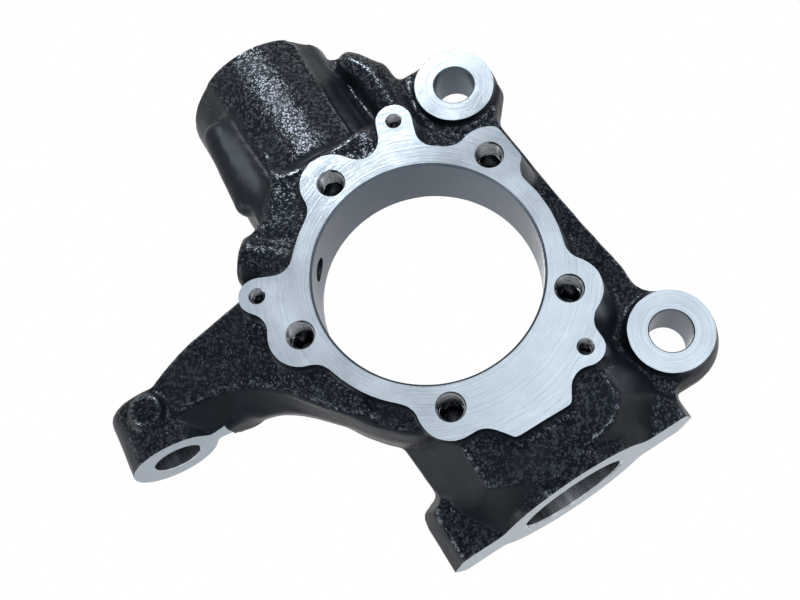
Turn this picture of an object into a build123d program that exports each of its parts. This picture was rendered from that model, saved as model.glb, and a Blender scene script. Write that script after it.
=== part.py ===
from build123d import *
import os
from math import cos, radians, sin, tan

# Front steering knuckle: one iron casting with machined faces and holes.
# Millimetres. The hub axis lies along Y and the bearing flange is the plane y = 0.
# Depth grows towards +Y, +Z is up and +X is the brake caliper's side.

os.makedirs("parts", exist_ok=True)

# Hub bore and bearing flange
hub_bore_d = 96.0
hub_bore_length = 31.0
hub_chamfer = 1.0
relief_half_angle = 30.0
relief_end_y = 110.0
flange_ring_d = 114.0
flange_height = 5.0
flange_root_r = 9.0

# Five tapped holes for the bearing and three for the dust shield
bolt_count = 5
bolt_pcd = 116.2
bolt_first_angle = 32.0
bolt_lobe_r = 13.6
bolt_drill_d = 10.2
bolt_mouth_d = 11.0
bolt_depth = 27.0
screw_pcd = 142.4
screw_angles = (70.8, 156.4, -59.4)
screw_lobe_r = 7.9
screw_drill_d = 5.2
screw_mouth_d = 7.2
screw_depth = 14.0

# Flat land of the flange above the ball joint
land_z = -77.7
land_left_x = -6.5
land_right_x = 19.0
land_root_z = -50.0
land_shoulders = ((24.0, -69.7), (27.0, land_root_z), (-20.0, land_root_z), (-15.5, -65.7))

# Straight right-hand edge of the flange, leaning from the vertical
edge_x = 62.3
edge_lean = 4.4
edge_low_z = -10.0

# Cast ring around the hub bore
ring_d = 137.4
ring_depth = 35.0
ring_parting_y = 19.0
ring_front_draft = 8.0
ring_back_draft = 3.0
ring_front_bevel = 1.8
shelf_z = 75.5
shelf_right_x = 24.0
shelf_steps = ((-25.0, shelf_z), (-33.0, 83.0), (-37.5, 76.0), (-42.5, 68.0), (-49.0, 62.0), (-56.0, 59.0),
               (-40.0, 30.0))
cheek_points = ((-58.0, 35.0), (-70.5, 41.0), (-72.0, 36.0), (-73.0, 28.0), (-62.1, 8.7))

# Wheel speed sensor boss, radial, with a hole into the hub bore
sensor_angle = 140.0
sensor_y = 15.0
sensor_boss_r = 11.7
sensor_reach = 81.5
sensor_hole_d = 10.5

# Caliper plate behind the ring
plate_front_y = 31.0
plate_back_y = 49.0
plate_parting_y = 40.0
plate_draft = 13.0
plate_back_draft = 4.0
plate_root_r = 10.0
plate_top_z = 102.8
plate_corner_x = 43.0
plate_left_edge = ((0.0, 58.0), (34.0, 61.0), (36.0, plate_top_z))
plate_right_edge = ((71.2, 58.0), (73.6, 15.0), (76.0, -11.0), (78.6, -33.0))
plate_foot_points = ((0.0, -70.0), (66.0, -89.0), (66.0, -90.2), (64.5, -93.0), (64.0, -100.0), (0.0, -100.0))
skirt_draft = 15.0

# Caliper bolt bosses
caliper_radius = 102.5
caliper_upper_angle = 53.1
caliper_lower_angle = -42.0
caliper_face_y = 27.0
caliper_back_y = 51.5
caliper_face_d = 36.6
caliper_cast_r = 21.7
caliper_hole_d = 18.5

# Ball joint housing under the ring
ball_x = 5.7
ball_y = 41.0
ball_face_z = -103.1
ball_tilt_x = -1.4
ball_tilt_y = 1.5
ball_bore_d = 47.0
ball_bore_depth = 30.0
ball_cup_d = 73.0
ball_cup_height = 26.0
ball_cone_height = 22.0
ball_cone_draft = 40.0
stock = 6.0
block_front_y = 5.0
block_base_y = 30.0
block_back_y = 54.0
block_pad_points = ((-26, -60), (-26, -75), (-26, -88), (-12, -94), (1, -101), (3, -112), (10, -112),
                    (12, -94), (28, -92.5), (38, -84), (38, -76), (36, -60))
block_base_points = ((-45.2, -50), (-43.6, -73), (-41, -86), (-30, -106), (-12, -114), (-4, -118), (18, -118),
                     (34, -112), (46, -100), (56, -87), (56, -75), (48, -54))
ear_left_x = -53.6
ear_right_x = 65.5
ear_top_z = -76.0
ear_foot_z = -120.0
ear_draft = 22.0

# Strut clamp barrel, leaning back from the vertical
strut_x = -14.3
strut_y = 56.0
strut_top_z = 141.0
strut_lean = 9.0
strut_d = 74.0
strut_bore_d = 56.0
strut_length = 73.0
strut_bore_depth = 50.0
strut_foot_d = 30.0
strut_foot_length = 88.0
strut_pad_height = 1.3
strut_pad_half_angle = 35.0
strut_side_pad_angles = (-33.7, 9.5)
clamp_gap = 4.0
lug_width = 34.0
lug_reach = 56.0
lug_r = 16.0
lug_drop = 30.0
pinch_hole_d = 12.5

# Rib between the caliper plate and the barrel
wing_left_x = 24.0
wing_front_y = 27.0
wing_top_z = 134.0
wing_round_r = 6.0
wing_foot_z = 55.0
web_front_y = 40.0
web_top_points = ((-10.0, wing_top_z - 2), (22.0, wing_top_z), (30.0, wing_top_z - 2), (36.0, 126.0),
                  (39.0, 120.0), (plate_corner_x, 115.0), (plate_corner_x, 98.0), (plate_corner_x + 2, 94.0))
rib_top_points = ((wing_left_x, 110.0), (20.0, 122.0), (24.0, 128.0), (30.0, wing_top_z - 5), (35.0, 123.0),
                  (38.0, 117.0), (plate_corner_x - 1, 112.0), (plate_corner_x - 1, 98.0), (plate_corner_x - 4, 61.0))

# Finger rib at the barrel's left
finger_width = 15.0
finger_x = -41.5
finger_drop = 22.0
finger_length = 84.0
finger_reach = 35.0
finger_depth = 29.0

# Neck that fills between the ring, the plate and the barrel
neck_left_x = -46.0
neck_foot_z = 50.0
neck_top_z = 80.0

# Steering arm and tie rod eye
eye_x = -129.4
eye_y = 34.0
eye_bottom_z = -3.5
eye_height = 28.5
eye_d = 38.0
eye_body_shift = -1.0
eye_draft = 1.5
eye_tilt_x = 2.5
eye_tilt_y = 1.5
eye_top_bevel = 2.0
taper_large_d = 20.6
taper_small_d = 17.4
arm_lean = 11.3
arm_front_y = 5.0
arm_root_x = -60.0
arm_thickness = 30.0
arm_front_upper = ((-50, 39.2), (-74, 33.5), (-86, 32.2), (-101, 30.8), (-113, 28), (-124, 24))
arm_front_lower = ((-50, -41), (-56, -35), (-64, -26), (-72, -14.5), (-81, -5), (-91, 2), (-101, 5.5), (-124, 7))
arm_middle_upper = ((-50, 45), (-74, 40), (-86, 39), (-101, 36), (-113, 32.5), (-124, 28))
arm_middle_lower = ((-50, -46), (-56, -39), (-67, -26), (-77, -16), (-83, -12.5), (-92, -9.5), (-107, -6.5),
                    (-124, -5))
arm_back_upper = ((-50, 41), (-74, 36), (-86, 35.5), (-101, 33.5), (-113, 31), (-124, 26))
arm_back_lower = ((-50, -43), (-56, -36), (-67, -23), (-77, -13), (-83, -9), (-92, -6), (-107, -2), (-124, -1))
pip_x = -129.0
pip_z = 15.0
pip_base_d = 18.6
pip_top_d = 14.0
pip_height = 2.0

# How far one form runs into the next, and how far a cutter runs past a face
overlap = 1.0
clear = 2.0


def at_depth(y):
    """Plane across the hub axis at depth y, with x to +X and y to +Z."""
    return Plane.XZ.offset(-y)


def polar(radius, angle):
    """Point at a radius and an angle about the hub axis."""
    return (radius * cos(radians(angle)), radius * sin(radians(angle)))


def tilted(x, y, z, tilt_x, tilt_y):
    """Plane through a point whose normal leans from +Z by two small angles."""
    normal = (sin(radians(tilt_x)), sin(radians(tilt_y)), 1.0)
    return Plane(origin=(x, y, z), x_dir=(1, 0, -normal[0]), z_dir=normal)


def edge_line_x(z):
    """Where the flange's straight right-hand edge lies at a height."""
    return edge_x - z * tan(radians(edge_lean))


bolt_points = [polar(bolt_pcd / 2, bolt_first_angle + i * 360 / bolt_count) for i in range(bolt_count)]
screw_points = [polar(screw_pcd / 2, angle) for angle in screw_angles]
upper_boss = polar(caliper_radius, caliper_upper_angle)
lower_boss = polar(caliper_radius, caliper_lower_angle)
ball_plane = tilted(ball_x, ball_y, ball_face_z, ball_tilt_x, ball_tilt_y)
eye_plane = tilted(eye_x, eye_y, eye_bottom_z, eye_tilt_x, eye_tilt_y)
sensor_axis = (cos(radians(sensor_angle)), 0, sin(radians(sensor_angle)))
sensor_plane = Plane(origin=(0, sensor_y, 0), x_dir=(0, 1, 0), z_dir=sensor_axis)
strut_axis = (0, sin(radians(strut_lean)), cos(radians(strut_lean)))
strut_plane = Plane(origin=(strut_x, strut_y, strut_top_z), x_dir=(1, 0, 0), z_dir=strut_axis)
lug_plane = Plane(origin=strut_plane.origin, x_dir=strut_plane.y_dir, z_dir=(1, 0, 0))
finger_plane = Plane(origin=strut_plane.origin - strut_plane.y_dir * finger_reach - Vector(strut_x - finger_x, 0, 0),
                     x_dir=(1, 0, 0), z_dir=-strut_plane.y_dir)
arm_axis = (cos(radians(arm_lean)), -sin(radians(arm_lean)), 0)

# Bearing flange: ring, bolt lobes, screw lobes and the flat land, with rounded roots.
with BuildPart() as flange:
    with BuildSketch(at_depth(0)):
        Circle(flange_ring_d / 2)
        with Locations(*bolt_points):
            Circle(bolt_lobe_r)
        with Locations(*screw_points):
            Circle(screw_lobe_r)
        for angle in screw_angles:
            with Locations(Location((*polar(screw_pcd / 4, angle), 0), (0, 0, angle))):
                Rectangle(screw_pcd / 2, 2 * screw_lobe_r)
        with BuildLine():
            Polyline((land_left_x, land_z), (land_right_x, land_z), *land_shoulders, close=True)
        make_face()
        offset(amount=flange_root_r)
        offset(amount=-flange_root_r)
        with BuildLine():
            Polyline((edge_line_x(ring_d), ring_d), (edge_line_x(edge_low_z), edge_low_z), (ring_d, edge_low_z),
                     (ring_d, ring_d), close=True)
        make_face(mode=Mode.SUBTRACT)
    extrude(amount=-flange_height - overlap)

# Cast ring behind the flange, drafted both ways from its parting line.
with BuildPart() as ring:
    with BuildSketch(at_depth(ring_parting_y)) as ring_outline:
        Circle(ring_d / 2)
        with Locations((ring_d / 2, 0)):
            Rectangle(ring_d, 2 * ring_d, mode=Mode.SUBTRACT)
        with BuildLine():
            Polyline((shelf_right_x, 0), (shelf_right_x, shelf_z), *shelf_steps, close=True)
        make_face()
        with BuildLine():
            Polyline(*cheek_points, close=True)
        make_face()
    extrude(amount=ring_parting_y - flange_height, taper=ring_front_draft)
    chamfer(ring.faces().sort_by(Axis.Y)[0].edges(), ring_front_bevel)
    extrude(ring_outline.sketch, amount=ring_parting_y - ring_depth, taper=ring_back_draft)

# Wheel speed sensor boss, a half round rib running outwards from the bore.
with BuildPart() as sensor_boss:
    with BuildSketch(sensor_plane):
        Circle(sensor_boss_r)
        with Locations(((ring_depth - sensor_y) / 2, 0)):
            Rectangle(ring_depth - sensor_y, 2 * sensor_boss_r)
    extrude(amount=sensor_reach)
    boss_axis = Axis(sensor_plane.origin, sensor_plane.z_dir)
    chamfer(sensor_boss.faces().sort_by(boss_axis)[-1].edges(), ring_front_bevel)

# Skirts under the flange on the caliper's side, flaring out to the plate.
with BuildPart() as skirt:
    skirt_top_y = flange_height / 2
    skirt_length = plate_front_y + overlap - skirt_top_y
    lobes = [((0, 0), flange_ring_d / 2)]
    lobes += [(point, bolt_lobe_r) for point in (bolt_points[0], bolt_points[-1])]
    lobes += [(point, screw_lobe_r) for point in (screw_points[0], screw_points[-1])]
    for point, radius in lobes:
        with BuildSketch(at_depth(skirt_top_y)):
            with Locations(point):
                Circle(radius)
        extrude(amount=-skirt_length, taper=-skirt_draft)
    for angle in (screw_angles[0], screw_angles[-1]):
        with BuildSketch(at_depth(skirt_top_y)):
            with Locations(Location((*polar(screw_pcd / 4, angle), 0), (0, 0, angle))):
                Rectangle(screw_pcd / 2, 2 * screw_lobe_r)
        extrude(amount=-skirt_length, taper=-skirt_draft)
    # The flat right-hand side, from the flange's edge out to the plate's
    with BuildSketch(at_depth(-overlap)):
        with BuildLine():
            Polyline((-ring_d, -ring_d), (edge_line_x(-ring_d), -ring_d), (edge_line_x(ring_d), ring_d),
                     (-ring_d, ring_d), close=True)
        make_face()
    extrude(amount=-plate_front_y - 4 * overlap, taper=-skirt_draft, mode=Mode.INTERSECT)

# Caliper plate with its two bolt bosses.
with BuildPart() as plate:
    with BuildSketch(at_depth(plate_parting_y)) as plate_outline:
        with Locations(upper_boss, lower_boss):
            Circle(caliper_cast_r)
        with BuildLine():
            Polyline(*plate_left_edge, (upper_boss[0] - caliper_cast_r / 4, plate_top_z), upper_boss,
                     (upper_boss[0] + caliper_cast_r - overlap, upper_boss[1] - caliper_cast_r / 2),
                     *plate_right_edge, lower_boss, (lower_boss[0] - caliper_cast_r / 7, lower_boss[1] - caliper_cast_r),
                     (lower_boss[0] - 3 * caliper_cast_r / 4, lower_boss[1] - caliper_cast_r),
                     (0, lower_boss[1] - caliper_cast_r / 2), close=True)
        make_face()
        offset(amount=plate_root_r)
        offset(amount=-plate_root_r)
        with BuildLine():
            Polyline(*plate_foot_points, close=True)
        make_face()
    extrude(amount=plate_parting_y - plate_front_y, taper=plate_draft)
    extrude(plate_outline.sketch, amount=plate_parting_y - plate_back_y, taper=plate_back_draft)
    for boss in (upper_boss, lower_boss):
        with BuildSketch(at_depth(caliper_face_y)):
            with Locations(boss):
                Circle(caliper_face_d / 2)
        with BuildSketch(at_depth(plate_parting_y)):
            with Locations(boss):
                Circle(caliper_cast_r)
        loft()
        with BuildSketch(at_depth(plate_parting_y)):
            with Locations(boss):
                Circle(caliper_face_d / 2)
        extrude(amount=plate_parting_y - caliper_back_y)

# Ball joint housing: front pad sloping out to a base, round cup and two ears.
with BuildPart() as block:
    with BuildSketch(at_depth(block_front_y)):
        with BuildLine():
            Polyline(*block_pad_points, close=True)
        make_face()
    with BuildSketch(at_depth(block_base_y)) as base:
        with BuildLine():
            Polyline(*block_base_points, close=True)
        make_face()
    loft(ruled=True)
    extrude(base.sketch, amount=block_base_y - block_back_y, taper=ring_back_draft)
    with BuildSketch(at_depth(ball_y)) as ears:
        with BuildLine():
            Polyline((ear_left_x + 18.6, ear_top_z + 6), (ear_left_x + 7, ear_top_z + 1),
                     (ear_left_x + 1.2, ear_top_z - 1.5), (ear_left_x, ear_top_z - 7), (ear_left_x + 0.4, ear_foot_z),
                     (ear_right_x, ear_foot_z), (ear_right_x, ear_top_z - 16), (ear_right_x - 5.5, ear_top_z - 8),
                     (ear_right_x - 15.5, ear_top_z + 6), close=True)
        make_face()
    extrude(amount=ball_y - block_base_y + clear, taper=ear_draft)
    extrude(ears.sketch, amount=ball_y - block_back_y, taper=ear_draft)
    # Round cup for the ball joint, closed by a cone above
    with BuildSketch(ball_plane.offset(-stock)):
        Circle(ball_cup_d / 2)
    extrude(amount=ball_cup_height + stock)
    with BuildSketch(ball_plane.offset(ball_cup_height)):
        Circle(ball_cup_d / 2)
    extrude(amount=ball_cone_height, taper=ball_cone_draft)

# Strut clamp barrel with its foot, its rough pads and the clamp lugs at the back.
with BuildPart() as barrel:
    with BuildSketch(strut_plane):
        Circle(strut_d / 2)
    extrude(amount=-strut_length)
    with BuildSketch(strut_plane.offset(-strut_length)):
        Circle(strut_d / 2)
    with BuildSketch(strut_plane.offset(-strut_foot_length)):
        Circle(strut_foot_d / 2)
    loft()
    front_angles = (-90 - strut_pad_half_angle, -90 + strut_pad_half_angle)
    for (start, end), length in ((front_angles, strut_length),
                                 (strut_side_pad_angles, strut_length)):
        with BuildSketch(strut_plane):
            Circle(strut_d / 2 + strut_pad_height)
            with BuildLine():
                Polyline((0, 0), polar(strut_d, start), polar(strut_d, end), close=True)
            make_face(mode=Mode.INTERSECT)
        extrude(amount=-length)
    with BuildSketch(lug_plane):
        with Locations((lug_reach - lug_r, -lug_drop)):
            Circle(lug_r)
        with Locations(((lug_reach - lug_r) / 2, -lug_drop)):
            Rectangle(lug_reach - lug_r, 2 * lug_r)
    extrude(amount=lug_width / 2, both=True)

with BuildPart() as finger:
    with BuildSketch(finger_plane):
        with Locations((0, -finger_drop - finger_width / 2)):
            Circle(finger_width / 2)
        with Locations((0, -(finger_drop + finger_width / 2 + finger_length) / 2)):
            Rectangle(finger_width, finger_length - finger_drop - finger_width / 2)
    extrude(amount=-finger_depth)
    fillet(finger.faces().sort_by(Axis.Y)[0].edges(), finger_width / 2 - clear)

with BuildPart() as neck:
    with BuildSketch(at_depth(ring_parting_y)):
        with BuildLine():
            neck_right_x = plate_corner_x - 4
            Polyline((neck_left_x, neck_foot_z), (neck_right_x, neck_foot_z), (neck_right_x, neck_foot_z + 16),
                     (neck_right_x - 19, neck_top_z - 8), (0, neck_top_z), (neck_left_x + 8, neck_top_z),
                     (neck_left_x, neck_top_z - 8), close=True)
        make_face()
    extrude(amount=ring_parting_y - plate_back_y)

# Wing between the barrel and the caliper plate: a thin web with a thick rib in front.
with BuildPart() as wing:
    with BuildSketch(at_depth(web_front_y)):
        with BuildLine():
            Polyline((-10, wing_foot_z), *web_top_points, (plate_corner_x + 2, wing_foot_z), close=True)
        make_face()
    extrude(amount=web_front_y - plate_back_y)
    with BuildSketch(at_depth(web_front_y + clear)):
        with BuildLine():
            Polyline((wing_left_x, wing_foot_z), *rib_top_points, (plate_corner_x - 4, wing_foot_z), close=True)
        make_face()
    extrude(amount=web_front_y + clear - wing_front_y)
    fillet(wing.faces().sort_by(Axis.Y)[0].edges(), wing_round_r)

# Steering arm: three sections on planes that lean back towards the eye.
def arm_section(depth, upper, lower):
    """Arm outline at a depth, between an upper and a lower edge listed from root to eye."""
    plane = Plane(origin=(arm_root_x, arm_front_y + depth, 0), x_dir=arm_axis, z_dir=(arm_axis[1], -arm_axis[0], 0))
    with BuildSketch(plane) as section:
        with BuildLine():
            top = Spline(*[((x - arm_root_x) / arm_axis[0], z) for x, z in upper])
            bottom = Spline(*[((x - arm_root_x) / arm_axis[0], z) for x, z in lower])
            Line(top @ 1, bottom @ 1)
            Line(bottom @ 0, top @ 0)
        make_face()
    return section.sketch


with BuildPart() as arm:
    front = arm_section(0, arm_front_upper, arm_front_lower)
    middle = arm_section(arm_thickness / 2, arm_middle_upper, arm_middle_lower)
    back = arm_section(arm_thickness, arm_back_upper, arm_back_lower)
    loft([front, middle], ruled=True)
    loft([middle, back], ruled=True)

# Tie rod eye at the arm's end, with a round pip on its front.
with BuildPart() as eye:
    with BuildSketch(eye_plane):
        with Locations((eye_body_shift, 0)):
            Circle(eye_d / 2)
    extrude(amount=eye_height - eye_top_bevel, taper=eye_draft)
    extrude(eye.faces().sort_by(Axis.Z)[-1], amount=eye_top_bevel, taper=45)
    for depth, diameter in ((eye_y - eye_d / 2 - pip_height, pip_top_d), (eye_y - eye_d / 4, pip_base_d)):
        with BuildSketch(at_depth(depth)):
            with Locations((pip_x, pip_z)):
                Circle(diameter / 2)
    loft()

with BuildPart() as knuckle:
    add(flange.part)
    add(ring.part)
    add(sensor_boss.part)
    add(skirt.part)
    add(plate.part)
    add(block.part)
    add(barrel.part)
    add(finger.part)
    add(neck.part)
    add(wing.part)
    add(arm.part)
    add(eye.part)

    # Hub bore with its chamfer, and the relief cone behind it
    with BuildSketch(at_depth(-overlap)):
        Circle(hub_bore_d / 2)
    extrude(amount=-hub_bore_length - clear, mode=Mode.SUBTRACT)
    relief_length = relief_end_y - hub_bore_length
    with BuildSketch(at_depth(hub_bore_length)):
        Circle(hub_bore_d / 2)
    with BuildSketch(at_depth(hub_bore_length + relief_length)):
        Circle(hub_bore_d / 2 + relief_length * tan(radians(relief_half_angle)))
    loft(mode=Mode.SUBTRACT)
    with BuildSketch(at_depth(0)):
        Circle(hub_bore_d / 2 + hub_chamfer)
    with BuildSketch(at_depth(hub_chamfer)):
        Circle(hub_bore_d / 2)
    loft(mode=Mode.SUBTRACT)
    # Tapped holes, at their drilled size, with countersunk mouths
    for points, drill_d, mouth_d, depth in ((bolt_points, bolt_drill_d, bolt_mouth_d, bolt_depth),
                                            (screw_points, screw_drill_d, screw_mouth_d, screw_depth)):
        with Locations(*[Location((x, 0, z), (90, 0, 0)) for x, z in points]):
            CounterSinkHole(drill_d / 2, mouth_d / 2, depth)
    # Sensor hole from the boss's end into the bore
    with BuildSketch(sensor_plane):
        Circle(sensor_hole_d / 2)
    extrude(amount=sensor_reach + clear, mode=Mode.SUBTRACT)
    # Caliper bolt holes
    for boss in (upper_boss, lower_boss):
        with BuildSketch(at_depth(caliper_face_y)):
            with Locations(boss):
                Circle(caliper_hole_d / 2)
        extrude(amount=caliper_face_y - caliper_back_y - clear, mode=Mode.SUBTRACT)
    # Ball joint face and bore
    with BuildSketch(ball_plane):
        Rectangle(2 * ring_d, 2 * ring_d)
    extrude(amount=ear_foot_z, mode=Mode.SUBTRACT)
    with BuildSketch(ball_plane):
        Circle(ball_bore_d / 2)
    extrude(amount=ball_bore_depth, mode=Mode.SUBTRACT)
    # Strut bore, clamp slot and pinch bolt hole
    with BuildSketch(strut_plane):
        Circle(strut_bore_d / 2)
        with Locations((0, lug_reach / 2 + clear)):
            Rectangle(clamp_gap, lug_reach + 2 * clear)
    extrude(amount=-strut_bore_depth, mode=Mode.SUBTRACT)
    with BuildSketch(lug_plane):
        with Locations((lug_reach - lug_r, -lug_drop)):
            Circle(pinch_hole_d / 2)
    extrude(amount=lug_width, both=True, mode=Mode.SUBTRACT)
    # Tie rod eye: bottom face and taper
    with BuildSketch(eye_plane):
        Rectangle(2 * eye_d, 2 * eye_d)
    extrude(amount=-eye_d / 2, mode=Mode.SUBTRACT)
    with BuildSketch(eye_plane):
        Circle(taper_large_d / 2)
    with BuildSketch(eye_plane.offset(eye_height)):
        Circle(taper_small_d / 2)
    loft(mode=Mode.SUBTRACT)

knuckle.part.label = "steering_knuckle"
export_step(knuckle.part, "parts/steering_knuckle.step")
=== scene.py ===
from math import cos, pi, radians, sin

import bmesh
import bpy
from mathutils import Matrix, Quaternion, Vector


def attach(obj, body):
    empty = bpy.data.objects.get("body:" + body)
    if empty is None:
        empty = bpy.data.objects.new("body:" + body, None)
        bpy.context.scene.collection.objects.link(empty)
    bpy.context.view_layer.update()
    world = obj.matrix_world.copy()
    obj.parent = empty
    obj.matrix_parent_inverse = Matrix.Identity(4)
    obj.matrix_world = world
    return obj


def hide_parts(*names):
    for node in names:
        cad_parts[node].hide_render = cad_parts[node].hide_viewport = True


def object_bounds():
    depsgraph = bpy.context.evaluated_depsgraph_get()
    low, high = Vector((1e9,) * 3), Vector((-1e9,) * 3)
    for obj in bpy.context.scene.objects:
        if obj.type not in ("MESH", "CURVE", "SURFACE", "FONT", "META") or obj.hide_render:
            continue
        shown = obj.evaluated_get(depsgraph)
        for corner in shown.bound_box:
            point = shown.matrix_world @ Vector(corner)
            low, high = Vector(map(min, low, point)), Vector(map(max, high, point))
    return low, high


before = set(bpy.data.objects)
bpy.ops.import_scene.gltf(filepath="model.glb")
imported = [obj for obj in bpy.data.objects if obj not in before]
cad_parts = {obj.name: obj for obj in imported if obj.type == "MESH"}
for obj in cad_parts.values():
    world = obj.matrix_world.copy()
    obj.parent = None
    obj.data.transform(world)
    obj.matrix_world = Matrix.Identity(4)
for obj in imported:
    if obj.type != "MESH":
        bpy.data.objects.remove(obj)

# The knuckle is rebuilt as it is made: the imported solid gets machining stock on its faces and
# plugs in its holes, becomes a soft-edged casting, and is then milled, bored and tapped.

MM = 0.001
NODE = "steering_knuckle"
X, INWARD, Z = Vector((1, 0, 0)), Vector((0, 1, 0)), Vector((0, 0, 1))
cad_low, cad_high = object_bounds()
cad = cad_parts[NODE]


def polar(radius, angle, depth=0.0):
    """Point at a radius and an angle about the hub axis, at a depth behind the flange."""
    return Vector((radius * cos(radians(angle)), depth, radius * sin(radians(angle))))


def leaning(to_x, to_y):
    """Upward direction that leans by two angles."""
    return Vector((sin(radians(to_x)), sin(radians(to_y)), 1.0)).normalized()


# Measures, in millimetres and degrees --------------------------------------------------------

# Machined features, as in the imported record
BOLTS = [(58.1, 32 + 72 * i) for i in range(5)]
BOLT_MINOR, BOLT_MAJOR, BOLT_PITCH, BOLT_DEPTH, BOLT_MOUTH = 5.1, 6.0, 1.75, 27.0, 6.25
SCREWS = [(71.2, angle) for angle in (70.8, 156.4, -59.4)]
SCREW_MINOR, SCREW_MAJOR, SCREW_PITCH, SCREW_DEPTH, SCREW_MOUTH = 2.6, 3.05, 1.0, 14.0, 3.6
THREAD_TURNS, THREAD_STEPS = 6, 16
HUB_R, HUB_DEPTH, HUB_CHAMFER = 48.0, 31.0, 1.0
CALIPERS = [(102.5, 53.1), (102.5, -42.0)]
CALIPER_FACE, CALIPER_BACK = 27.0, 51.5
CALIPER_R, CALIPER_MILL_R, CALIPER_CHAMFER = 9.25, 22.0, 0.5
BALL, BALL_AXIS = Vector((5.7, 41.0, -103.1)), leaning(-1.4, 1.5)
BALL_R, BALL_DEPTH, BALL_CHAMFER = 23.5, 30.0, 0.8
EYE, EYE_AXIS = Vector((-129.4, 34.0, -3.5)), leaning(2.5, 1.5)
EYE_LOW_R, EYE_HIGH_R, EYE_HEIGHT, EYE_MILL_R, EYE_CHAMFER = 10.3, 8.7, 28.5, 26.0, 0.4
STRUT, STRUT_LEAN = Vector((-14.3, 56.0, 141.0)), radians(9.0)
STRUT_AXIS = Vector((0, sin(STRUT_LEAN), cos(STRUT_LEAN)))
STRUT_BACK = Vector((0, cos(STRUT_LEAN), -sin(STRUT_LEAN)))
STRUT_R, STRUT_DEPTH, STRUT_CHAMFER, BARREL_R = 28.0, 50.0, 1.5, 37.0
LUG_R, LUG_REACH, LUG_DROP, LUG_HALF_WIDTH = 16.0, 56.0, 30, 17
PINCH = STRUT + STRUT_BACK * (LUG_REACH - LUG_R) - STRUT_AXIS * LUG_DROP
PINCH_R, CLAMP_GAP = 6.25, 4.0
SENSOR_AXIS = polar(1, 140)
SENSOR_DEPTH, SENSOR_REACH, SENSOR_R, SENSOR_MILL_R = 15.0, 81.5, 5.25, 14

# Casting
VOXEL = 1.35
SOFTENING, ROUNDING = 3, 22
SMOOTH_FACTOR = 0.5
SKIN_WAVES = ((9.0, 0.10), (4.0, 0.07), (2.2, 0.05))
STOCK, STOCK_ROOT, FLAT = 2.0, 1.0, 0.03
PLUG_MARGIN = 0.3
SLOT_PLUG, SLOT_SINK = CLAMP_GAP / 2 + PLUG_MARGIN, 0.7
SHARP_ANGLE = 32

# Beads along paths: parting ridges on the barrel as (angle, depth) ends, the lip below the
# barrel, the rims of the raised faces, and the bulge beside the barrel
RIDGES = (((-31, 6), (-26, 59)), ((37, 4), (31, 69)))
RIDGE_R, RIDGE_AT = 1.6, 37.9
LIP = [(-34, 8.0, 75.5), (-30, 6.9, 73.2), (-26, 6.5, 71.8), (-20, 6.5, 71.3), (-9, 6.5, 71.3),
       (2, 6.5, 71.4), (8, 7.4, 72.8), (13, 12.5, 76), (18, 21.5, 80)]
LIP_R = 2.6
RIMS = [
    [(-25, 6.4, -64), (-25, 6.4, -77), (-24, 6.4, -85.5), (-15, 6.4, -90.5), (-2, 6.4, -95),
     (5, 6.4, -98)],
    [(13, 6.6, -93.5), (20, 6.4, -92), (28, 6.4, -90.7), (34.5, 6.4, -86.5), (36, 6.4, -79),
     (36, 6.4, -72), (34, 6.4, -66)],
    [(-72, 9.4, -12.5), (-65, 7.8, -22.3), (-57.5, 7.0, -31.2), (-49.5, 6.7, -40.6),
     (-42, 6.6, -49.6)],
]
RIM_R = 2.2
FINGER = [(-43.5, 23.2, 116), (-46.5, 18.8, 78)]
FINGER_R = 8.2

# Groove between the barrel and the lip
GROOVE = [(-35, 11.5, 80.0), (-31, 9.0, 77.5), (-27, 8.0, 76.0), (-20, 7.6, 75.5),
          (-9, 7.6, 75.5), (2, 8.5, 75.7), (8, 11.5, 77.5), (13, 17.0, 80.5), (18, 26.0, 84)]
GROOVE_REACH, GROOVE_DEPTH = 3.4, 1.4
GROOVE_PARTS = [(*ends, GROOVE_REACH) for ends in zip(GROOVE, GROOVE[1:])]

# Stretches of the casting that are rounder or plainer than the rest: start, end and reach
FINGER_PART = ((-42, 17, 117), (-46, 12, 76), 13)
WING_PARTS = [((27, 27, 122), (28, 28, 92), 14), ((38, 27, 107), (38, 27, 98), 10)]
TAB_PART = ((-91, 26, -10), (-84, 25, -10), 11)
RIGHT_PAD, LEFT_PAD = ((15, 33, 143), (13, 27, 114), 9), ((-35, 24, 142), (-36, 21, 120), 8)
ARM_PART = ((-112, 32, 6), (-84, 33, 22), 17)
PAD_FOOT = ((12, 25, 110), (16, 28, 86), 10)
ROUND_PARTS = [FINGER_PART, *WING_PARTS, TAB_PART, RIGHT_PAD, LEFT_PAD]
PLAIN_PARTS = [FINGER_PART, TAB_PART, RIGHT_PAD, *GROOVE_PARTS, ARM_PART, PAD_FOOT]
PLAIN_SKIN = "plain_skin"


# Materials -----------------------------------------------------------------------------------

# Paint: cells in a metre, lengths in metres, specular levels and roughness
GRAIN_CELLS, COARSE_CELLS, WARP_CELLS = 820, 480, 500
WAVE_CELLS, TONE_CELLS, PATCH_CELLS = 180, 90, 55
WARP_REACH, WAVE_HEIGHT, GRAIN_HEIGHT = 0.0018, 0.0004, 0.00013
# Painted highlights: the grain's tops reflect more in a height band, in metres, at the front of the
# strut's end, and more again on the broad faces' rims (the gain below)
PAINTED_HIGHLIGHT_FROM, PAINTED_HIGHLIGHT_TO = 0.045, 0.075
PLAIN_LEVEL, UNHIGHLIGHTED_LEVEL, PAINTED_HIGHLIGHT_LEVEL, RIM_HIGHLIGHT_GAIN = 0.14, 0.36, 0.80, 4.5
PLAIN_ROUGHNESS, GRAINY_ROUGHNESS = 0.38, 0.2
BLACK, BLUE_BLACK = (0.003, 0.0042, 0.0065), (0.006, 0.0078, 0.0115)

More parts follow.
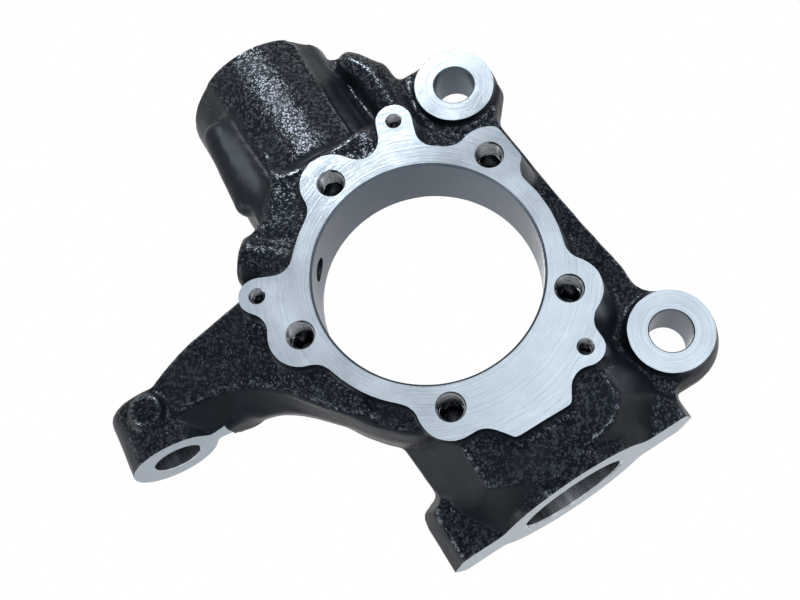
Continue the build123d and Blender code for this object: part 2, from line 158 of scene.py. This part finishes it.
# Bare iron
PALE, SILVER = (0.29, 0.34, 0.39), (0.44, 0.51, 0.58)
MILL_RINGS, RING_DEPTH = (2600, 2.5), 0.00005
FACED_ROUGHNESS = 0.20
CLOUD_CELLS, SPECK_CELLS, WOBBLE_CELLS = 45, 1500, 60


class Nodes:
    """A material's node tree, with short calls for adding nodes and links."""

    def __init__(self, name):
        self.material = bpy.data.materials.new(name)
        self.material.use_nodes = True
        self.tree = self.material.node_tree
        self.tree.nodes.clear()
        self.output = self.add("ShaderNodeOutputMaterial")
        self.shader = self.add("ShaderNodeBsdfPrincipled")
        self.link(self.shader.outputs[0], self.output.inputs["Surface"])
        self.place = self.add("ShaderNodeNewGeometry").outputs["Position"]

    def add(self, kind, **values):
        node = self.tree.nodes.new(kind)
        for name, value in values.items():
            setattr(node, name, value)
        return node

    def link(self, source, target):
        self.tree.links.new(source, target)

    def set(self, **values):
        """Sets the shader's own sockets."""
        for name, value in values.items():
            self.shader.inputs[name.replace("_", " ")].default_value = value

    def texture(self, kind, scale, vector=None):
        """Texture with this many cells in a metre."""
        node = self.add(kind)
        node.inputs["Scale"].default_value = scale
        self.link(vector or self.place, node.inputs["Vector"])
        return node

    def noise(self, scale, detail=2.0, roughness=0.5, vector=None):
        node = self.texture("ShaderNodeTexNoise", scale, vector)
        node.inputs["Detail"].default_value = detail
        node.inputs["Roughness"].default_value = roughness
        return node.outputs["Fac"]

    def vector(self, operation, first, second):
        """Vector arithmetic of an output with a tuple or an output."""
        node = self.add("ShaderNodeVectorMath", operation=operation)
        self.link(first, node.inputs[0])
        if isinstance(second, tuple):
            node.inputs[1].default_value = second
        else:
            self.link(second, node.inputs[1])
        return node.outputs[0]

    def stretched(self, x, y, z):
        """The position, with its axes stretched."""
        return self.vector("MULTIPLY", self.place, (x, y, z))

    def length(self, vector):
        node = self.add("ShaderNodeVectorMath", operation="LENGTH")
        self.link(vector, node.inputs[0])
        return node.outputs["Value"]

    def axis(self, vector, name):
        """One axis of a vector."""
        node = self.add("ShaderNodeSeparateXYZ")
        self.link(vector, node.inputs[0])
        return node.outputs[name]

    def span(self, source, low, high, to_low, to_high, smooth=False):
        """One range of values mapped to another, and kept within it."""
        node = self.add("ShaderNodeMapRange")
        if smooth:
            node.interpolation_type = "SMOOTHSTEP"
        limits = {"From Min": low, "From Max": high, "To Min": to_low, "To Max": to_high}
        for name, value in limits.items():
            node.inputs[name].default_value = value
        self.link(source, node.inputs["Value"])
        return node.outputs["Result"]

    def mix(self, factor, first, second):
        """Mix of two colours, each a tuple or an output."""
        node = self.add("ShaderNodeMix", data_type="RGBA")
        self.link(factor, node.inputs["Factor"])
        for name, value in (("A", first), ("B", second)):
            socket = next(s for s in node.inputs if s.name == name and s.type == "RGBA")
            if isinstance(value, tuple):
                socket.default_value = (*value, 1)
            else:
                self.link(value, socket)
        return next(s for s in node.outputs if s.type == "RGBA")

    def math(self, operation, first, second):
        """Arithmetic of two numbers or outputs."""
        node = self.add("ShaderNodeMath", operation=operation)
        for socket, value in zip(node.inputs, (first, second)):
            if isinstance(value, (int, float)):
                socket.default_value = value
            else:
                self.link(value, socket)
        return node.outputs[0]

    def bump(self, height, distance, strength=1.0, normal=None):
        node = self.add("ShaderNodeBump")
        node.inputs["Distance"].default_value = distance
        node.inputs["Strength"].default_value = strength
        self.link(height, node.inputs["Height"])
        if normal:
            self.link(normal, node.inputs["Normal"])
        return node.outputs["Normal"]


def paint_material():
    """Gloss black paint over a sand-cast skin: grainy on the broad faces, smooth on the drafted walls.

    The hollows between the grains get a lower specular level than the grains' tops, as painted shade
    where the grains shade one another.
    The tops get a painted highlight on the front of the strut's end, where the key lamp lights it, and
    a stronger painted highlight on the broad faces' rims.
    """
    m = Nodes("black_paint")
    geometry = m.add("ShaderNodeNewGeometry")
    across = m.axis(geometry.outputs["Normal"], "Y")

    # Where the skin is grainy, and where the grain's tops get painted highlights
    broad = m.span(m.math("ABSOLUTE", across, 0.0), 0.62, 0.84, 0.0, 1.0, True)
    patches = m.span(m.noise(PATCH_CELLS), 0.34, 0.55, 0.65, 1.0, True)
    broad = m.math("MULTIPLY", broad, patches)
    plain = m.add("ShaderNodeAttribute", attribute_name=PLAIN_SKIN)
    broad = m.math("MULTIPLY", broad, m.span(plain.outputs["Fac"], 0.0, 1.0, 1.0, 0.0))
    # The rims of the broad faces, found from the mesh's pointiness, get a painted highlight
    rim = m.span(geometry.outputs["Pointiness"], 0.512, 0.55, 0.0, 1.0, True)
    rim = m.math("MULTIPLY", rim, broad)
    # Painted highlight: a height band on the front-facing skin at the strut's end, where the key lamp
    # lights it
    front = m.span(across, -0.3, 0.3, 1.0, 0.0, True)
    painted_highlight = m.span(m.axis(m.place, "Z"), PAINTED_HIGHLIGHT_FROM, PAINTED_HIGHLIGHT_TO, 0.0, 1.0, True)
    painted_highlight = m.math("MULTIPLY", painted_highlight, front)

    # Relief
    swirl = m.texture("ShaderNodeTexNoise", WARP_CELLS).outputs["Color"]
    warp = m.vector("MULTIPLY", swirl, (WARP_REACH, WARP_REACH, WARP_REACH))
    grain = m.texture("ShaderNodeTexVoronoi", GRAIN_CELLS, m.vector("ADD", m.place, warp))
    pebble = m.span(grain.outputs["Distance"], 0.0, 0.8, 1.0, 0.0, True)
    height = m.math("ADD", m.math("MULTIPLY", pebble, 0.5), m.noise(COARSE_CELLS))
    relief = m.math("MULTIPLY", height, m.span(broad, 0.0, 1.0, 0.10, 1.0))
    normal = m.bump(m.noise(WAVE_CELLS, 3.0), WAVE_HEIGHT, 0.6)
    m.link(m.bump(relief, GRAIN_HEIGHT, 1.0, normal), m.shader.inputs["Normal"])

    # Gloss and colour
    # Painted shade: the hollows between the grains reflect less than the tops
    tops = m.span(height, 0.57, 0.90, 0.08, 1.0, True)
    # Painted highlight: the tops reflect more in the band at the front of the strut's end
    tops = m.math("MULTIPLY", tops, m.span(painted_highlight, 0.0, 1.0, UNHIGHLIGHTED_LEVEL, PAINTED_HIGHLIGHT_LEVEL))
    # Painted highlight: the tops reflect several times more on the rims
    tops = m.math("MULTIPLY", tops, m.span(rim, 0.0, 1.0, 1.0, RIM_HIGHLIGHT_GAIN))
    level = m.math("ADD", m.math("MULTIPLY", tops, broad), m.span(broad, 0.0, 1.0, PLAIN_LEVEL, 0.0))
    m.link(level, m.shader.inputs["Specular IOR Level"])
    roughness = m.span(broad, 0.0, 1.0, PLAIN_ROUGHNESS, GRAINY_ROUGHNESS)
    m.link(roughness, m.shader.inputs["Roughness"])
    tone = m.mix(m.span(m.noise(TONE_CELLS, 3.0), 0.35, 0.65, 0, 1), BLACK, BLUE_BLACK)
    m.link(tone, m.shader.inputs["Base Color"])
    # The reflections are tinted blue: painted reflection colour, as the lamps and the sky are white
    m.set(Metallic=0.0, IOR=1.5, Specular_Tint=(0.72, 0.85, 1.0, 1))
    return m.material


def metal_material(name, low, high, roughness, marks, mark_depth, centre=None):
    """Bare iron with tool marks.

    marks stretches the position so that they run along one direction. With a centre they are rings
    about it, as a face mill or a lathe leaves them.
    """
    m = Nodes(name)
    if centre:
        offset = m.vector("SUBTRACT", m.stretched(1, 0, 1), (centre.x * MM, 0, centre.z * MM))
        spread = m.add("ShaderNodeCombineXYZ")
        m.link(m.math("MULTIPLY", m.length(offset), marks[0]), spread.inputs[0])
        m.link(m.math("MULTIPLY", m.noise(WOBBLE_CELLS, 1.0), marks[1]), spread.inputs[1])
        lines = m.noise(1.0, 2.0, 0.65, spread.outputs[0])
    else:
        lines = m.noise(1.0, 2.0, 0.6, m.stretched(*marks))
    cloud = m.noise(CLOUD_CELLS, 3.0, 0.6)
    speck = m.noise(SPECK_CELLS, 2.0, 0.6)
    blend = m.math("ADD", m.math("MULTIPLY", lines, 0.6), m.math("MULTIPLY", cloud, 0.4))
    tone = m.mix(m.span(blend, 0.35, 0.65, 0, 1), low, high)
    dark = tuple(0.35 * c for c in low)
    tone = m.mix(m.span(speck, 0.70, 0.76, 0, 0.6), tone, dark)
    m.link(tone, m.shader.inputs["Base Color"])
    gloss = m.span(cloud, 0.3, 0.7, roughness - 0.05, roughness + 0.05)
    m.link(gloss, m.shader.inputs["Roughness"])
    m.link(m.bump(lines, mark_depth, 0.8), m.shader.inputs["Normal"])
    m.set(Metallic=1.0)
    return m.material


paint = paint_material()
faced = metal_material("faced_iron", PALE, SILVER, FACED_ROUGHNESS, MILL_RINGS, RING_DEPTH, polar(0, 0))
spotted = [metal_material(f"spotfaced_iron_{i}", PALE, SILVER, FACED_ROUGHNESS, MILL_RINGS, RING_DEPTH,
                          polar(*place))
           for i, place in enumerate(CALIPERS)]
milled = metal_material("milled_iron", PALE, SILVER, 0.36, (2600, 2600, 160), 0.00004)
# The bored walls are coloured far darker than faced iron: painted shade inside the bores and the slot
bored_shaded = metal_material("bored_iron_painted_shade", (0.065, 0.083, 0.108), (0.11, 0.135, 0.168), 0.36,
                       (90, 4200, 90), 0.00004)
reamed = metal_material("reamed_iron", (0.24, 0.26, 0.29), (0.62, 0.66, 0.71), 0.22,
                        (260, 260, 5), 0.00004)
# The tapped walls are coloured darker than faced iron: painted shade inside the tapped holes
tapped_shaded = metal_material("tapped_iron_painted_shade", (0.13, 0.137, 0.15), (0.30, 0.315, 0.34), 0.24,
                        (500, 500, 500), 0.00002)


# Mesh tools ----------------------------------------------------------------------------------


def new_object(name, mesh_builder, material=None):
    """Object whose mesh comes from a bmesh, in metres."""
    mesh = bpy.data.meshes.new(name)
    bmesh.ops.recalc_face_normals(mesh_builder, faces=mesh_builder.faces)
    mesh_builder.to_mesh(mesh)
    mesh_builder.free()
    if material:
        mesh.materials.append(material)
    made = bpy.data.objects.new(name, mesh)
    bpy.context.scene.collection.objects.link(made)
    return made


def axes_for(axis):
    """Two directions square to an axis."""
    side = axis.orthogonal().normalized()
    return side, axis.cross(side).normalized()


def turned(name, origin, axis, profile, segments, material, ripple=None):
    """Closed turned body from (distance along the axis, radius) pairs, in millimetres.

    ripple(distance, turn) adds to the radius, for a thread.
    """
    side, other = axes_for(axis)
    b = bmesh.new()
    rows = []
    for distance, radius in profile:
        ring = []
        for i in range(segments):
            turn = i / segments
            r = radius + (ripple(distance, turn) if ripple else 0.0)
            angle = 2 * pi * turn
            place = origin + axis * distance + (side * cos(angle) + other * sin(angle)) * r
            ring.append(b.verts.new(place * MM))
        rows.append(ring)
    for row, following in zip(rows, rows[1:]):
        for i in range(segments):
            j = (i + 1) % segments
            b.faces.new((row[i], row[j], following[j], following[i]))
    b.faces.new(rows[0])
    b.faces.new(rows[-1])
    return new_object(name, b, material)


def block(name, origin, axes, low, high, material=None):
    """Box between two corners given along three axes from an origin, in millimetres."""
    along, across, up = axes
    b = bmesh.new()
    corners = {}
    for i in (0, 1):
        for j in (0, 1):
            for k in (0, 1):
                point = (origin + along * (low[0], high[0])[i] + across * (low[1], high[1])[j]
                         + up * (low[2], high[2])[k])
                corners[i, j, k] = b.verts.new(point * MM)
    for a in (0, 1):
        b.faces.new([corners[a, 0, 0], corners[a, 1, 0], corners[a, 1, 1], corners[a, 0, 1]])
        b.faces.new([corners[0, a, 0], corners[1, a, 0], corners[1, a, 1], corners[0, a, 1]])
        b.faces.new([corners[0, 0, a], corners[1, 0, a], corners[1, 1, a], corners[0, 1, a]])
    return new_object(name, b, material)


def stock_on(name, point, outward):
    """Slab of machining stock over every flat face of the solid that lies in a plane."""
    source = bmesh.new()
    source.from_mesh(cad.data)
    b = bmesh.new()
    copies = {}
    for face in source.faces:
        if face.normal.dot(outward) < 0.999:
            continue
        if any(abs((v.co / MM - point).dot(outward)) > FLAT for v in face.verts):
            continue
        corners = []
        for v in face.verts:
            key = tuple(round(c / MM, 2) for c in v.co)
            if key not in copies:
                copies[key] = b.verts.new(v.co - outward * STOCK_ROOT * MM)
            corners.append(copies[key])
        if len(set(corners)) == len(corners) and not b.faces.get(corners):
            b.faces.new(corners)
    source.free()
    grown = bmesh.ops.extrude_face_region(b, geom=b.faces[:])
    moved = [v for v in grown["geom"] if isinstance(v, bmesh.types.BMVert)]
    bmesh.ops.translate(b, verts=moved, vec=outward * (STOCK + STOCK_ROOT) * MM)
    return new_object(name, b)


def plug(origin, axis, start, end, radius, end_radius=None):
    """Plain round plug between two distances along an axis."""
    last = radius if end_radius is None else end_radius
    profile = [(start, radius + PLUG_MARGIN), (end, last + PLUG_MARGIN)]
    return turned("plug", origin, axis, profile, 96, None)


def bead(name, path, radius):
    """Round bead along a path, as a row of balls that melt together in the casting."""
    path = [Vector(place) for place in path]
    b = bmesh.new()
    for start, end in zip(path, path[1:]):
        count = max(1, round((end - start).length / (0.5 * radius)))
        for i in range(count + 1):
            place = Matrix.Translation(start.lerp(end, i / count) * MM)
            bmesh.ops.create_icosphere(b, subdivisions=2, radius=radius * MM, matrix=place)
    return new_object(name, b)


def bore(name, origin, axis, start, end, radius, chamfer, segments, material, end_radius=None):
    """Cutter of a round hole with a chamfered mouth."""
    last = radius if end_radius is None else end_radius
    mouth = radius + chamfer
    profile = [(start - 4, mouth), (start, mouth), (start + chamfer, radius), (end, last)]
    return turned(name, origin, axis, profile, segments, material)


def thread(major, minor, pitch, depth):
    """Ripple of an internal thread: the radius swings between the minor and the major."""
    def ripple(distance, turn):
        if not major - minor < distance < depth:
            return 0.0
        return (major - minor) * (0.5 - 0.5 * cos(2 * pi * (distance / pitch - turn)))
    return ripple


def tapped_hole(name, centre, minor, major, pitch, depth, mouth, segments):
    """Cutter of a tapped hole with a countersunk mouth and a drill point."""
    start, end = mouth - minor, THREAD_TURNS * pitch
    steps = THREAD_TURNS * THREAD_STEPS
    profile = [(-4.0, mouth), (0.0, mouth), (start, minor)]
    profile += [(start + (end - start) * i / steps, minor) for i in range(1, steps + 1)]
    profile += [(depth, minor), (depth + minor * 0.6 - 0.1, 0.15)]
    ripple = thread(major, minor, pitch, end)
    return turned(name, centre, INWARD, profile, segments, tapped_shaded, ripple)


def nearest_on(start, end, place):
    """Point of a straight stretch that is nearest to a place."""
    along = (place - start).dot(end - start) / (end - start).length_squared
    return start.lerp(end, min(1.0, max(0.0, along)))


def nearness(place, stretches):
    """1 on the nearest of some stretches, falling to 0 at its reach."""
    return max(0.0, *(1 - (place - nearest_on(Vector(start), Vector(end), place)).length / reach
                      for start, end, reach in stretches))


def smooth(target, name, iterations):
    """Adds a smoothing modifier."""
    modifier = target.modifiers.new(name, "SMOOTH")
    modifier.factor = SMOOTH_FACTOR
    modifier.iterations = iterations
    return modifier


def apply_modifiers(target):
    """Turns an object's modifiers into its mesh."""
    evaluated = target.evaluated_get(bpy.context.evaluated_depsgraph_get())
    mesh = bpy.data.meshes.new_from_object(evaluated)
    target.modifiers.clear()
    target.data = mesh


# Casting -------------------------------------------------------------------------------------

CLAMP_AXES = (X, STRUT_BACK, STRUT_AXIS)
parts = [
    stock_on("stock_flange", polar(0, 0), -INWARD),
    stock_on("stock_caliper", INWARD * CALIPER_FACE, -INWARD),
    stock_on("stock_ball", BALL, -BALL_AXIS),
    stock_on("stock_eye", EYE, -EYE_AXIS),
    stock_on("stock_strut", STRUT, STRUT_AXIS),
    stock_on("stock_sensor", SENSOR_AXIS * SENSOR_REACH, SENSOR_AXIS),
    plug(polar(0, 0), INWARD, -STOCK, HUB_DEPTH, HUB_R),
    plug(BALL, BALL_AXIS, -STOCK, BALL_DEPTH + 1, BALL_R),
    plug(EYE, EYE_AXIS, -STOCK, EYE_HEIGHT + STOCK, EYE_LOW_R, EYE_HIGH_R),
    plug(STRUT, STRUT_AXIS, -STRUT_DEPTH - 1, STOCK, STRUT_R),
    plug(PINCH, X, -LUG_HALF_WIDTH, LUG_HALF_WIDTH, PINCH_R),
    plug(SENSOR_AXIS * HUB_R + INWARD * SENSOR_DEPTH, SENSOR_AXIS,
         -2, SENSOR_REACH - HUB_R + STOCK, SENSOR_R),
    block("plug_slot_barrel", STRUT, CLAMP_AXES,
          (-SLOT_PLUG, 10, -STRUT_DEPTH), (SLOT_PLUG, BARREL_R - SLOT_SINK, 0)),
    block("plug_slot_lug", PINCH, CLAMP_AXES,
          (-SLOT_PLUG, -20, SLOT_SINK - LUG_R), (SLOT_PLUG, 0, LUG_R - SLOT_SINK)),
    plug(PINCH, X, -SLOT_PLUG, SLOT_PLUG, LUG_R - SLOT_SINK),
]
parts += [plug(polar(*place), INWARD, -STOCK, BOLT_DEPTH, BOLT_MAJOR) for place in BOLTS]
parts += [plug(polar(*place), INWARD, -STOCK, SCREW_DEPTH, SCREW_MOUTH) for place in SCREWS]
parts += [plug(polar(*place), INWARD, CALIPER_FACE - STOCK, CALIPER_BACK, CALIPER_R)
          for place in CALIPERS]

for ends in RIDGES:
    path = []
    for angle, depth in ends:
        outward = X * sin(radians(angle)) - STRUT_BACK * cos(radians(angle))
        path.append(STRUT + outward * RIDGE_AT - STRUT_AXIS * depth)
    parts.append(bead("ridge", path, RIDGE_R))
parts.append(bead("lip", LIP, LIP_R))
parts.append(bead("finger", FINGER, FINGER_R))
parts += [bead("rim", path, RIM_R) for path in RIMS]

raw = bmesh.new()
raw.from_mesh(cad.data)
for part in parts:
    raw.from_mesh(part.data)
    bpy.data.objects.remove(part)
bmesh.ops.remove_doubles(raw, verts=raw.verts, dist=1e-7)
casting_mesh = bpy.data.meshes.new("casting")
raw.to_mesh(casting_mesh)
raw.free()
casting = bpy.data.objects.new("casting", casting_mesh)
bpy.context.scene.collection.objects.link(casting)

remesh = casting.modifiers.new("remesh", "REMESH")
remesh.mode = "VOXEL"
remesh.voxel_size = VOXEL * MM
apply_modifiers(casting)

for vertex in casting.data.vertices:
    near = nearness(vertex.co / MM, GROOVE_PARTS)
    if near > 0:
        vertex.co -= vertex.normal * (GROOVE_DEPTH * MM * (1 - (1 - near) ** 2) ** 2)
rounded = casting.vertex_groups.new(name="rounded")
for vertex in casting.data.vertices:
    near = nearness(vertex.co / MM, ROUND_PARTS)
    if near > 0:
        rounded.add([vertex.index], min(1.0, 2 * near), "REPLACE")
plain_skin = [min(1.0, 3 * nearness(v.co / MM, PLAIN_PARTS)) for v in casting.data.vertices]
casting.data.attributes.new(PLAIN_SKIN, "FLOAT", "POINT").data.foreach_set("value", plain_skin)

smooth(casting, "soften", SOFTENING)
smooth(casting, "rounding", ROUNDING).vertex_group = rounded.name
for size, height in SKIN_WAVES:
    texture = bpy.data.textures.new(f"skin_{size}", "CLOUDS")
    texture.noise_scale = size * MM
    texture.noise_depth = 1
    skin = casting.modifiers.new("skin", "DISPLACE")
    skin.texture = texture
    skin.texture_coords = "GLOBAL"
    skin.strength = 2 * height * MM
    skin.mid_level = 0.5
apply_modifiers(casting)
casting.data.materials.clear()
casting.data.materials.append(paint)

# Machining -----------------------------------------------------------------------------------

FAR = 300.0
cutters = [
    block("mill_flange", polar(0, 0), (X, INWARD, Z), (-FAR, -20, -FAR), (FAR, 0, FAR), faced),
    turned("mill_ball", BALL, BALL_AXIS, [(-20, 120), (0, 120)], 64, milled),
    turned("mill_eye", EYE, EYE_AXIS, [(-12, EYE_MILL_R), (0, EYE_MILL_R)], 96, milled),
    turned("mill_strut", STRUT, STRUT_AXIS, [(0, 60), (15, 60)], 64, milled),
    turned("mill_sensor", SENSOR_AXIS * SENSOR_REACH + INWARD * SENSOR_DEPTH, SENSOR_AXIS,
           [(0, SENSOR_MILL_R), (8, SENSOR_MILL_R)], 64, milled),
    bore("bore_hub", polar(0, 0), INWARD, 0, HUB_DEPTH + 4, HUB_R, HUB_CHAMFER, 256, bored_shaded),
    bore("bore_ball", BALL, BALL_AXIS, 0, BALL_DEPTH, BALL_R, BALL_CHAMFER, 160, reamed),
    bore("bore_eye", EYE, EYE_AXIS, 0, EYE_HEIGHT + 4, EYE_LOW_R, EYE_CHAMFER, 96, reamed, EYE_HIGH_R),
    turned("bore_strut", STRUT, STRUT_AXIS,
           [(-STRUT_DEPTH, STRUT_R), (-STRUT_CHAMFER, STRUT_R), (0, STRUT_R + STRUT_CHAMFER),
            (4, STRUT_R + STRUT_CHAMFER)], 160, bored_shaded),
    turned("bore_pinch", PINCH, X, [(-25, PINCH_R), (25, PINCH_R)], 64, bored_shaded),
    turned("bore_sensor", SENSOR_AXIS * (HUB_R - 4) + INWARD * SENSOR_DEPTH, SENSOR_AXIS,
           [(0, SENSOR_R), (SENSOR_REACH - HUB_R + 8, SENSOR_R)], 64, bored_shaded),
    block("saw_slot", STRUT, CLAMP_AXES,
          (-CLAMP_GAP / 2, 5, -STRUT_DEPTH), (CLAMP_GAP / 2, LUG_REACH + 12, 8), bored_shaded),
]
for i, place in enumerate(CALIPERS):
    cutters.append(turned(f"mill_caliper_{i}", polar(*place), INWARD,
                          [(CALIPER_FACE - 10, CALIPER_MILL_R), (CALIPER_FACE, CALIPER_MILL_R)],
                          96, spotted[i]))
    cutters.append(bore(f"bore_caliper_{i}", polar(*place), INWARD, CALIPER_FACE, CALIPER_BACK + 5,
                        CALIPER_R, CALIPER_CHAMFER, 96, bored_shaded))
for i, place in enumerate(BOLTS):
    cutters.append(tapped_hole(f"tap_bolt_{i}", polar(*place), BOLT_MINOR, BOLT_MAJOR, BOLT_PITCH,
                               BOLT_DEPTH, BOLT_MOUTH, 40))
for i, place in enumerate(SCREWS):
    cutters.append(tapped_hole(f"tap_screw_{i}", polar(*place), SCREW_MINOR, SCREW_MAJOR, SCREW_PITCH,
                               SCREW_DEPTH, SCREW_MOUTH, 28))

tools = bpy.data.collections.new("cutters")
for cutter in cutters:
    tools.objects.link(cutter)
cut = casting.modifiers.new("machining", "BOOLEAN")
cut.operation = "DIFFERENCE"
cut.solver = "EXACT"
cut.operand_type = "COLLECTION"
cut.collection = tools
cut.material_mode = "TRANSFER"
apply_modifiers(casting)
for cutter in cutters:
    bpy.data.objects.remove(cutter)
bpy.data.collections.remove(tools)

for vertex in casting.data.vertices:
    for axis in range(3):
        vertex.co[axis] = min(max(vertex.co[axis], cad_low[axis]), cad_high[axis])
for polygon in casting.data.polygons:
    polygon.use_smooth = True
casting.data.set_sharp_from_angle(angle=radians(SHARP_ANGLE))
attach(casting, "root")
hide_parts(NODE)

# Stage, in metres ----------------------------------------------------------------------------

FLOOR_DROP, FLOOR_R = 0.40, 2.2
FADE_FROM, FADE_TO = 0.5, 0.9 * FLOOR_R
DIM_SKY, WHITE_SKY = 0.45, 1.0
floor_mesh = bmesh.new()
bmesh.ops.create_circle(floor_mesh, cap_ends=True, segments=96, radius=FLOOR_R,
                        matrix=Matrix.Translation((0, 0, -FLOOR_DROP)))
floor = new_object("floor", floor_mesh)
pale = Nodes("pale_floor")
pale.set(Base_Color=(0.86, 0.86, 0.86, 1), Roughness=0.9)
fade = pale.add("ShaderNodeMixShader")
distance = pale.length(pale.stretched(1, 1, 0))
pale.link(pale.span(distance, FADE_FROM, FADE_TO, 0.0, 1.0, True), fade.inputs["Fac"])
pale.link(pale.shader.outputs[0], fade.inputs[1])
pale.link(pale.add("ShaderNodeEmission").outputs[0], fade.inputs[2])
pale.link(fade.outputs[0], pale.output.inputs["Surface"])
floor.data.materials.append(pale.material)

# The sky is white where it is seen, mirrored or seen through, and dim as a light
world = bpy.data.worlds.new("studio")
bpy.context.scene.world = world
world.use_nodes = True
tree = world.node_tree
background = tree.nodes["Background"]
background.inputs["Color"].default_value = (1, 1, 1, 1)
path = tree.nodes.new("ShaderNodeLightPath")
seen = path.outputs["Is Camera Ray"]
for kind in ("Is Glossy Ray", "Is Transmission Ray"):
    either = tree.nodes.new("ShaderNodeMath")
    either.operation = "MAXIMUM"
    tree.links.new(seen, either.inputs[0])
    tree.links.new(path.outputs[kind], either.inputs[1])
    seen = either.outputs[0]
strength = tree.nodes.new("ShaderNodeMapRange")
strength.inputs["To Min"].default_value = DIM_SKY
strength.inputs["To Max"].default_value = WHITE_SKY
tree.links.new(seen, strength.inputs["Value"])
tree.links.new(strength.outputs["Result"], background.inputs["Strength"])


def lamp(name, place, size, power, target=(0, 0, 0)):
    """Soft rectangular lamp that points at a target."""
    data = bpy.data.lights.new(name, "AREA")
    data.shape = "RECTANGLE"
    data.size, data.size_y = size
    data.energy = power
    made = bpy.data.objects.new(name, data)
    made.location = place
    made.rotation_mode = "QUATERNION"
    made.rotation_quaternion = (Vector(target) - Vector(place)).to_track_quat("-Z", "Y")
    bpy.context.scene.collection.objects.link(made)


lamp("key", (0.14, -0.79, 0.85), (0.46, 0.37), 9.5, (0, 0, 0.02))
lamp("fill", (0.32, -1.05, 0.10), (0.5, 0.5), 0.6)
lamp("left", (-0.72, -0.95, 0.10), (0.14, 0.28), 1.8)
lamp("right", (0.88, -0.82, 0.10), (0.14, 0.28), 1.8)
lamp("side", (-1.1, 0.0, 0.1), (0.25, 0.5), 3)
lamp("low", (0.35, -0.75, -0.30), (0.5, 0.14), 2.2)
lamp("back", (0.2, 1.1, 0.7), (0.6, 0.4), 5)

# Camera, at the photograph's angle
camera_data = bpy.data.cameras.new("camera")
camera_data.lens = 49.86
camera_data.sensor_width = 36.0
camera_data.clip_start = 0.01
camera = bpy.data.objects.new("camera", camera_data)
camera.location = (-0.05776, -0.42404, -0.15378)
aim = Vector((-0.0140015, 0.020, 0.0021305)) - camera.location
camera.rotation_mode = "QUATERNION"
camera.rotation_quaternion = aim.to_track_quat("-Z", "Y") @ Quaternion((0, 0, 1), radians(-32.5034))
bpy.context.scene.collection.objects.link(camera)
bpy.context.scene.camera = camera
bpy.context.scene.view_settings.view_transform = "Standard"
